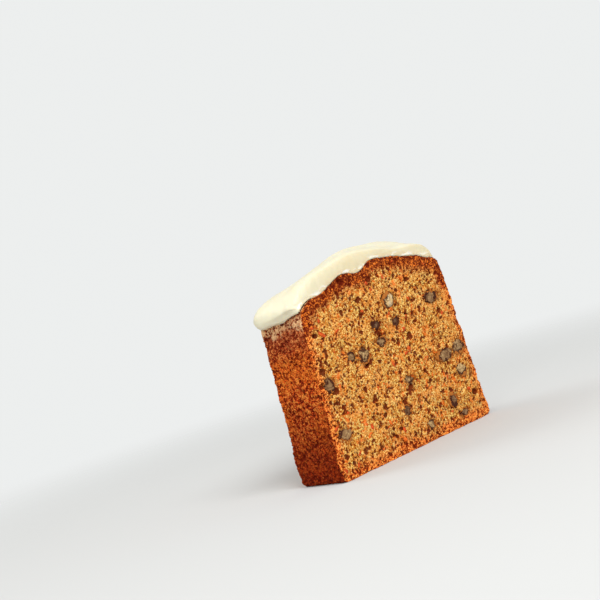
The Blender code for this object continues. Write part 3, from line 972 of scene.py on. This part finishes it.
class CAKE_OT_crumb(bpy.types.Operator):
    """Makes the crumb and crust with their pores"""

    bl_idname = "cake.crumb"
    bl_label = "Crumb and crust"

    def execute(self, context):
        look = context.scene.cake_look
        grain = look.grain * 1
        whole = new_piece("whole_cake", merged_copy("whole_cake", [CAKE_NODE]))
        remeshed(whole, grain, 4)
        facts = CrumbFacts(whole.data, look)
        facts.keep_on(whole.data)
        set_points(whole.data, facts.relief())
        material = cake_material(look)
        slabs = (
            ("crumb_front", -1, FRONT_Y + SLAB),
            ("crust_middle", FRONT_Y + SLAB, BACK_Y - SLAB),
            ("crumb_back", BACK_Y - SLAB, 1),
        )
        for name, low, high in slabs:
            piece = new_piece(name, slab_of(whole.data, name, low, high))
            dress(piece, [CAKE_NODE], material)
        bpy.data.objects.remove(whole)
        return {"FINISHED"}


# The frosting's left lip: how it is pushed out, how far it may reach, and how far its front tip rises
LIP_PUSH = np.array([-1.9, 0.0, -0.5]) * MM
LIP_REACH = 1.8 * MM
TIP_RISE = 1.7 * MM


class CAKE_OT_frosting(bpy.types.Operator):
    """Makes the frosting with its soft edge and knife marks"""

    bl_idname = "cake.frosting"
    bl_label = "Frosting"

    def execute(self, context):
        look = context.scene.frosting_look
        piece = new_piece("frosting_coat", merged_copy("frosting_coat", [FROSTING_NODE]))
        remeshed(piece, look.grain, 30)
        self.round_off(piece)
        mesh = piece.data
        places = points_of(mesh)
        directions = directions_of(mesh)
        cut = smooth_rise(np.abs(directions[:, 1]), 0.55, 0.9)
        above, index = nearest(places[:, [0, 2]], OUTLINE)
        toward = np.stack([OUTLINE[index, 0] - places[:, 0], OUTLINE[index, 1] - places[:, 2]], axis=1)
        facing = (toward * directions[:, [0, 2]]).sum(axis=1) / np.maximum(above, 1e-6)
        under = smooth_rise(facing, 0.2, 0.6) * (1 - smooth_rise(above, 1.2 * MM, 2.0 * MM))
        swoop = lumps(places * np.array([1.0, 0.45, 1.0]), 9 * MM, 51, 1)
        strokes = lumps(places * np.array([0.16, 1.0, 0.4]), 3.4 * MM, 53, 2)
        drag = lumps(places * np.array([1.0, 1.0, 0.45]), 1.8 * MM, 61, 2)
        lift = look.swoop * (swoop + 0.6 * strokes) * (1 - cut) + 0.14 * MM * drag * cut
        lift = lift * (1 - under) + 0.55 * MM * under
        places = places + directions * lift[:, None]
        thick = 1 - smooth_rise(places[:, 0], -46 * MM, -22 * MM)
        places += LIP_PUSH * (thick * smooth_rise(above, 0.8 * MM, 3.2 * MM))[:, None]
        tip = 1 - smooth_rise(places[:, 0], -47 * MM, -34 * MM)
        tip *= 1 - smooth_rise(places[:, 1], FRONT_Y + 1 * MM, FRONT_Y + 13 * MM)
        underside = places[tip > 0.6][:, 2].min()
        low_down = 1 - smooth_rise(places[:, 2], underside + 1 * MM, underside + 9 * MM)
        places[:, 2] += TIP_RISE * tip * low_down
        low, high = box_of(FROSTING_NODE)
        low[0] -= LIP_REACH
        set_points(mesh, np.clip(places, low, high))
        set_attribute(mesh, "thick", "FLOAT", thick)
        set_attribute(mesh, "cut", "FLOAT", cut)
        set_attribute(mesh, "thin", "FLOAT", cut * (1 - smooth_rise(above, 0.6 * MM, 2.8 * MM)))
        dress(piece, [FROSTING_NODE], frosting_material(look))
        return {"FINISHED"}

    def round_off(self, piece):
        """Rounds the frosting's edges where it is thick, and leaves them where it meets the crust."""
        places = points_of(piece.data)
        above, _ = nearest(places[:, [0, 2]], OUTLINE)
        share = (1 - smooth_rise(places[:, 0], -18 * MM, 14 * MM)) * smooth_rise(above, 0.6 * MM, 2.4 * MM)
        group = piece.vertex_groups.new(name="rounded")
        levels = np.round(share * 10).astype(int)
        for level in range(1, 11):
            group.add(np.flatnonzero(levels == level).tolist(), level / 10, "REPLACE")
        soft = piece.modifiers.new("round", "SMOOTH")
        soft.factor = 0.5
        soft.iterations = 420
        soft.vertex_group = "rounded"
        settle(piece)


class CAKE_OT_walnuts(bpy.types.Operator):
    """Makes the walnut pieces with their folds and skin"""

    bl_idname = "cake.walnuts"
    bl_label = "Walnut pieces"

    def execute(self, context):
        look = context.scene.walnut_look
        chance = np.random.default_rng(77)
        build = bmesh.new()
        rims_and_shadows = []
        tints = []
        for node in NUT_NODES:
            mesh, rim, size = self.one_nut(node, look, chance.uniform(0, math.tau))
            build.from_mesh(mesh)
            rims_and_shadows.append(rim)
            large = float(smooth_rise(size, 4.6 * MM, 6.4 * MM))
            tint = FRONT_TINTS.get(node, chance.uniform(0.2, 0.45) + large * chance.uniform(0.1, 0.4))
            tints.append(np.full(len(rim), tint))
        mesh = finished(build, "walnut_pieces")
        set_attribute(mesh, "rim", "FLOAT", np.concatenate(rims_and_shadows))
        set_attribute(mesh, "tint", "FLOAT", np.concatenate(tints))
        piece = new_piece("walnut_pieces", mesh)
        dress(piece, NUT_NODES, walnut_material(look))
        return {"FINISHED"}

    def one_nut(self, node, look, shade):
        """One nut's fine mesh, how near each point is to the cut's rim with a painted shadow added on one
        side, and the nut's size.
        """
        piece = new_piece(node + "_fine", merged_copy(node + "_fine", [node]))
        rounder = piece.modifiers.new("rounder", "SUBSURF")
        rounder.levels = 3
        rounder.render_levels = 3
        settle(piece)
        mesh = piece.data
        places = points_of(mesh)
        directions = directions_of(mesh)
        low, high = box_of(node)
        middle = (low + high) / 2
        half = (high - low) / 2
        flat = (places - middle) / half
        reach = np.sqrt(flat[:, 0] ** 2 + flat[:, 2] ** 2)
        surface = high[1] if middle[1] > 0 else low[1]
        buried = smooth_rise(np.abs(places[:, 1] - surface), 0.4 * MM, 1.4 * MM)
        size = float(2 * math.sqrt(half[0] * half[2]))
        outward = places - middle
        outward[:, 1] = 0
        outward /= np.maximum(np.linalg.norm(outward, axis=1), 1e-6)[:, None]
        lobes = lumps(places * np.array([1, 0.3, 1]), size * 0.42, 81, 1)
        folds = lumps(places, 1.9 * MM, 71, 3)
        places = places + outward * (lobes * size * 0.14 * reach + 0.32 * MM)[:, None]
        ridged = 0.5 - np.abs(folds)
        places = places + directions * (look.wrinkle * ridged * (1 - 0.5 * buried))[:, None]
        sunk = 0.75 * MM - 0.5 * MM * float(smooth_rise(size, 4.6 * MM, 6.4 * MM))
        places[:, 1] -= math.copysign(sunk, middle[1])
        places[:, 1] = np.clip(places[:, 1], FRONT_Y + 0.03 * MM, BACK_Y - 0.03 * MM)
        set_points(mesh, places)
        bpy.data.objects.remove(piece)
        # A painted shadow: the rim value grows toward one side, so that side darkens as if shaded
        shaded = flat[:, 0] * math.cos(shade) + flat[:, 2] * math.sin(shade)
        return mesh, np.maximum(reach / reach.max() + 0.50 * shaded, buried), size


def cake_surface():
    """One mesh of the cake's finished slabs, on which small things grow."""
    build = bmesh.new()
    for name in ("crumb_front", "crust_middle", "crumb_back"):
        build.from_mesh(bpy.data.objects[name].data)
    return finished(build, "cake_surface")


class CAKE_OT_shreds(bpy.types.Operator):
    """Lays carrot shreds in the cut faces"""

    bl_idname = "cake.shreds"
    bl_label = "Carrot shreds"

    def execute(self, context):
        look = context.scene.shred_look
        mesh = cake_surface()
        places = points_of(mesh)
        rim, _ = nearest(places[:, [0, 2]], OUTLINE)
        near_cut = depth_below(places) < 0.9 * MM
        chosen = near_cut * (rim > 2.0 * MM) * (nut_field(places)[0] > 1.6 * MM)
        set_attribute(mesh, "open_crumb", "FLOAT", chosen)
        material = carrot_material(look)
        piece = grow_shreds(mesh, look, material)
        sink(piece.data)
        dress(piece, [], material)
        return {"FINISHED"}


class CAKE_OT_crumbs(bpy.types.Operator):
    """Scatters loose crumbs over the crust and the cut's edges"""

    bl_idname = "cake.crumbs"
    bl_label = "Loose crumbs"

    def execute(self, context):
        look = context.scene.shred_look
        mesh = cake_surface()
        places = points_of(mesh)
        skin = attribute_values(mesh, "skin")
        inside = depth_below(places) > 0.1 * MM
        open_air = (places[:, 2] > 1.5 * MM) * (places[:, 2] < SHOULDER_Z) * inside
        beside_nut = np.abs(nut_field(places)[0]) < 0.8 * MM
        share = np.maximum(0.12 + 0.88 * (skin > 0.5), 0.8 * beside_nut) * open_air
        set_attribute(mesh, "crumbly", "FLOAT", share)
        material = crumb_material(context.scene.cake_look)
        piece = grow_crumbs(mesh, look, material)
        keep_inside(piece.data)
        dress(piece, [], material)
        return {"FINISHED"}


def keep_inside(mesh):
    """Keeps small things within the slice's box."""
    places = points_of(mesh)
    set_points(mesh, np.clip(places, CAD_BOX[0], CAD_BOX[1]))


def sink(mesh):
    """Presses the shreds flush with the cut faces."""
    places = points_of(mesh)
    side = np.sign(places[:, 1])
    places[:, 1] -= side * 0.12 * MM
    places[:, 1] = np.clip(places[:, 1], FRONT_Y + 0.05 * MM, BACK_Y - 0.05 * MM)
    set_points(mesh, places)


def attribute_values(mesh, name):
    """A number kept on each point."""
    values = np.empty(len(mesh.vertices), dtype=np.float32)
    mesh.attributes[name].data.foreach_get("value", values)
    return values


def nut_field(places):
    """Distance across the cut face to the nearest walnut piece's outline, and the way to its middle."""
    found = np.full(len(places), 1.0)
    way = np.zeros((len(places), 2))
    for node in NUT_NODES:
        low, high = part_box(node)
        away = places[:, [0, 2]] - np.array([low.x + high.x, low.z + high.z]) / 2
        half = np.array([high.x - low.x, high.z - low.z]) / 2
        gap = (np.linalg.norm(away / half, axis=1) - 1) * half.min()
        nearer = (np.sign(places[:, 1]) == math.copysign(1, low.y + high.y)) & (gap < found)
        found[nearer] = gap[nearer]
        way[nearer] = -away[nearer] / np.maximum(np.linalg.norm(away[nearer], axis=1), 1e-6)[:, None]
    return found, way


def ground_material(look):
    """A pale floor that fades into its surroundings."""
    paint = Paint("ground")
    length = paint.node("ShaderNodeVectorMath", {"operation": "LENGTH"}, {0: paint.place}, "Value")
    far = length.between(0.18, 0.50)
    plain = paint.node("ShaderNodeBsdfDiffuse", None, {"Color": (*look.ground, 1.0)})
    clear = paint.node("ShaderNodeBsdfTransparent")
    paint.end(paint.node("ShaderNodeMixShader", None, {0: far, 1: plain, 2: clear}))
    return paint.material


def area_light(name, place, target, size, power):
    """A soft square light that faces a target."""
    lamp = bpy.data.lights.new(name, "AREA")
    lamp.size = size
    lamp.energy = power
    holder = bpy.data.objects.new(name, lamp)
    holder.location = place
    holder.rotation_mode = "QUATERNION"
    holder.rotation_quaternion = (Vector(target) - Vector(place)).to_track_quat("-Z", "Y")
    bpy.context.scene.collection.objects.link(holder)


class CAKE_OT_stage(bpy.types.Operator):
    """Makes the floor, the lights, the surroundings and the camera"""

    bl_idname = "cake.stage"
    bl_label = "Stage"

    def execute(self, context):
        look = context.scene.stage_look
        build = bmesh.new()
        bmesh.ops.create_circle(build, cap_ends=True, radius=0.6, segments=96)
        mesh = finished(build, "ground")
        mesh.materials.append(ground_material(look))
        ground = new_piece("ground", mesh)
        self.add_surroundings(context, look)
        context.scene.view_settings.view_transform = "Standard"
        middle = (0.0, 0.0, 0.045)
        area_light("key", (-0.20, -0.88, 1.16), middle, 0.70, look.key)
        area_light("fill", (-0.85, -0.75, 0.45), middle, 0.80, look.fill)
        area_light("back", (-0.55, 0.95, 1.10), middle, 0.75, look.back)
        self.add_camera(context)
        return {"FINISHED"}

    def add_surroundings(self, context, look):
        """Pale surroundings, which light the slice more softly than they look."""
        world = bpy.data.worlds.new("surroundings")
        world.use_nodes = True
        tree = world.node_tree
        shade = tree.nodes["Background"]
        shade.inputs["Color"].default_value = (*look.backdrop, 1.0)
        seen = tree.nodes.new("ShaderNodeLightPath")
        strength = tree.nodes.new("ShaderNodeMapRange")
        strength.inputs["To Min"].default_value = look.surround / look.backdrop[1]
        strength.inputs["To Max"].default_value = 1.0
        tree.links.new(seen.outputs["Is Camera Ray"], strength.inputs["Value"])
        tree.links.new(strength.outputs["Result"], shade.inputs["Strength"])
        context.scene.world = world

    def add_camera(self, context):
        """The camera at the photograph's angle and roll."""
        data = bpy.data.cameras.new("camera")
        data.sensor_width = SENSOR_WIDTH
        data.lens = SENSOR_WIDTH * FOCAL_PIXELS / FRAME_PIXELS
        data.clip_start = 0.01
        data.clip_end = 10
        camera = bpy.data.objects.new("camera", data)
        turn = Matrix((CAMERA_RIGHT, CAMERA_UP, CAMERA_BACK)).transposed().to_4x4()
        camera.matrix_world = Matrix.Translation(CAMERA_PLACE) @ turn
        context.scene.collection.objects.link(camera)
        context.scene.camera = camera


class CAKE_PT_panel(bpy.types.Panel):
    """Lists the pieces of the slice"""

    bl_label = "Carrot cake slice"
    bl_idname = "CAKE_PT_panel"
    bl_space_type = "VIEW_3D"
    bl_region_type = "UI"
    bl_category = "Cake"

    def draw(self, context):
        for operator in OPERATORS:
            self.layout.operator(operator.bl_idname)


LOOKS = (
    ("cake_look", CakeLook),
    ("frosting_look", FrostingLook),
    ("walnut_look", WalnutLook),
    ("shred_look", ShredLook),
    ("stage_look", StageLook),
)
OPERATORS = (
    CAKE_OT_crumb,
    CAKE_OT_frosting,
    CAKE_OT_walnuts,
    CAKE_OT_shreds,
    CAKE_OT_crumbs,
    CAKE_OT_stage,
)


def register():
    """Adds the looks, the operators and the panel."""
    for name, look in LOOKS:
        bpy.utils.register_class(look)
        setattr(bpy.types.Scene, name, bpy.props.PointerProperty(type=look))
    for operator in OPERATORS:
        bpy.utils.register_class(operator)
    bpy.utils.register_class(CAKE_PT_panel)


def unregister():
    """Removes what register added."""
    bpy.utils.unregister_class(CAKE_PT_panel)
    for operator in reversed(OPERATORS):
        bpy.utils.unregister_class(operator)
    for name, look in reversed(LOOKS):
        delattr(bpy.types.Scene, name)
        bpy.utils.unregister_class(look)


def main():
    """Makes every piece in order."""
    register()
    bpy.ops.cake.crumb()
    bpy.ops.cake.frosting()
    bpy.ops.cake.walnuts()
    bpy.ops.cake.shreds()
    bpy.ops.cake.crumbs()
    bpy.ops.cake.stage()


if __name__ == "__main__":
    main()
